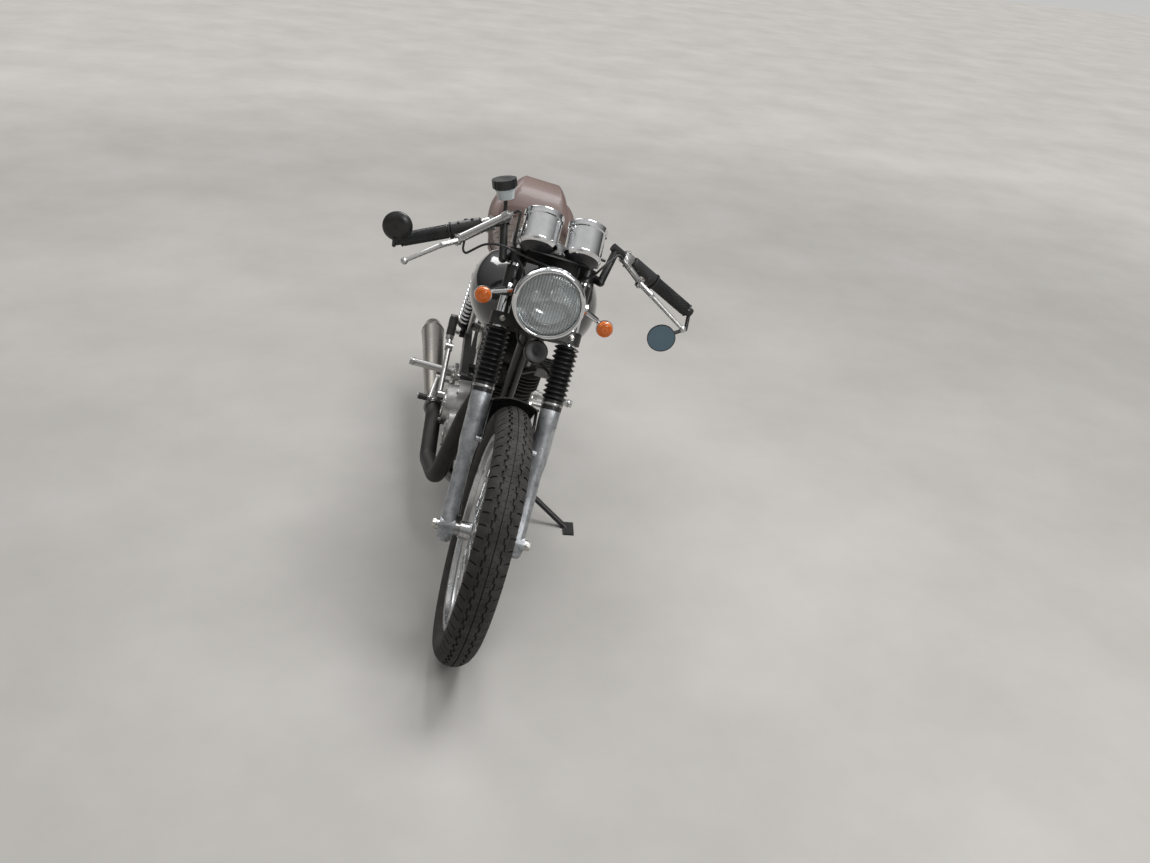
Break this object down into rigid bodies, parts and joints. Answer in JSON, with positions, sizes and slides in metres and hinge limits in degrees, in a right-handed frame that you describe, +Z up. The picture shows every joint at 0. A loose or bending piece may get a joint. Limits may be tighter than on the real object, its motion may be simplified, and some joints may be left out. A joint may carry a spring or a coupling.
{
  "type": "cafe racer motorcycle",
  "caption": "Single-seat cafe racer motorcycle with wire wheels, humped tail, low clip-on bars and an open finned engine, leaning on its side stand.",
  "frame": {"origin": "bottom centre of the bounding box, on the ground that the tyres and the side stand rest on", "axes": "+X forward, +Y to the rider's left, +Z up; the machine leans 12 degrees towards +Y"},
  "size_m": [2.0648, 0.8232, 1.1559],
  "materials": {
    "black_paint": "gloss",
    "tank_paint": "gloss",
    "tail_paint": "satin",
    "chrome": "polished",
    "alloy": "satin",
    "steel": "brushed",
    "tyre": "matt",
    "rubber": "satin",
    "glass": "clear",
    "mirror": "mirror",
    "leather": "stitched",
    "amber": "gloss",
    "red": "gloss",
    "white_plastic": "gloss",
    "mesh": "matt"
  },
  "bodies": {
    "chassis": {"air_filter": "mesh", "carburettor": "alloy", "crankcase": "alloy", "drive_chain": "steel", "engine_covers": "alloy", "engine_cylinder": "alloy", "engine_head": "alloy", "exhaust_header": "black_paint", "exhaust_silencer": "steel", "frame_cradle": "black_paint", "frame_rails": "black_paint", "frame_spine": "black_paint", "fuel_cap": "chrome", "fuel_tank": "tank_paint", "kick_starter": "steel", "rear_axle": "steel", "rear_brake_plate": "alloy", "rear_indicators": "amber", "rear_mudguard": "black_paint", "rearsets": "alloy", "regulator": "alloy", "seat_pad": "leather", "shock_springs": "chrome", "shocks": "black_paint", "side_panels": "steel", "swingarm": "black_paint", "tail_cowl": "tail_paint", "tail_lamp": "red"},
    "steering": {"fork_legs": "alloy", "fork_tubes": "chrome", "fork_gaiters": "rubber", "front_axle": "steel", "lower_yoke": "black_paint", "upper_yoke": "alloy", "headlight_shell": "black_paint", "headlight_rim": "chrome", "headlight_lens": "glass", "headlight_brackets": "black_paint", "front_indicators": "amber", "clock_cups": "chrome", "clock_glasses": "glass", "clock_bracket": "black_paint", "clipons": "black_paint", "grips": "rubber", "perches": "alloy", "levers": "alloy", "mirrors": "black_paint", "mirror_glasses": "mirror", "brake_reservoir": "white_plastic", "front_mudguard": "black_paint", "brake_caliper": "alloy", "brake_hose": "rubber", "control_cables": "rubber"},
    "front_wheel": {"front_tyre": "tyre", "front_wheel_rim": "alloy", "front_brake_disc": "steel"},
    "rear_wheel": {"rear_tyre": "tyre", "rear_wheel_rim": "alloy", "rear_sprocket": "steel"},
    "side_stand": {"side_stand": "black_paint"}
  },
  "joints": [
    {"name": "steering", "type": "hinge", "parent": "chassis", "child": "steering", "pos_m": [0.35222, 0.00645, 0.86974], "axis": [-0.4617, 0.1844, 0.8676], "range_deg": [-30, 30]},
    {"name": "front_wheel_spin", "type": "hinge", "parent": "steering", "child": "front_wheel", "pos_m": [0.6975, -0.10854, 0.32877], "axis": [0, 0.9781, -0.2079], "continuous": true},
    {"name": "rear_wheel_spin", "type": "hinge", "parent": "chassis", "child": "rear_wheel", "pos_m": [-0.7025, -0.10958, 0.32388], "axis": [0, 0.9781, -0.2079], "continuous": true},
    {"name": "side_stand_fold", "type": "hinge", "parent": "chassis", "child": "side_stand", "pos_m": [0.0375, -0.02938, 0.14326], "axis": [0.0996, 0.583, 0.8063], "range_deg": [0, 92.6]}
  ]
}
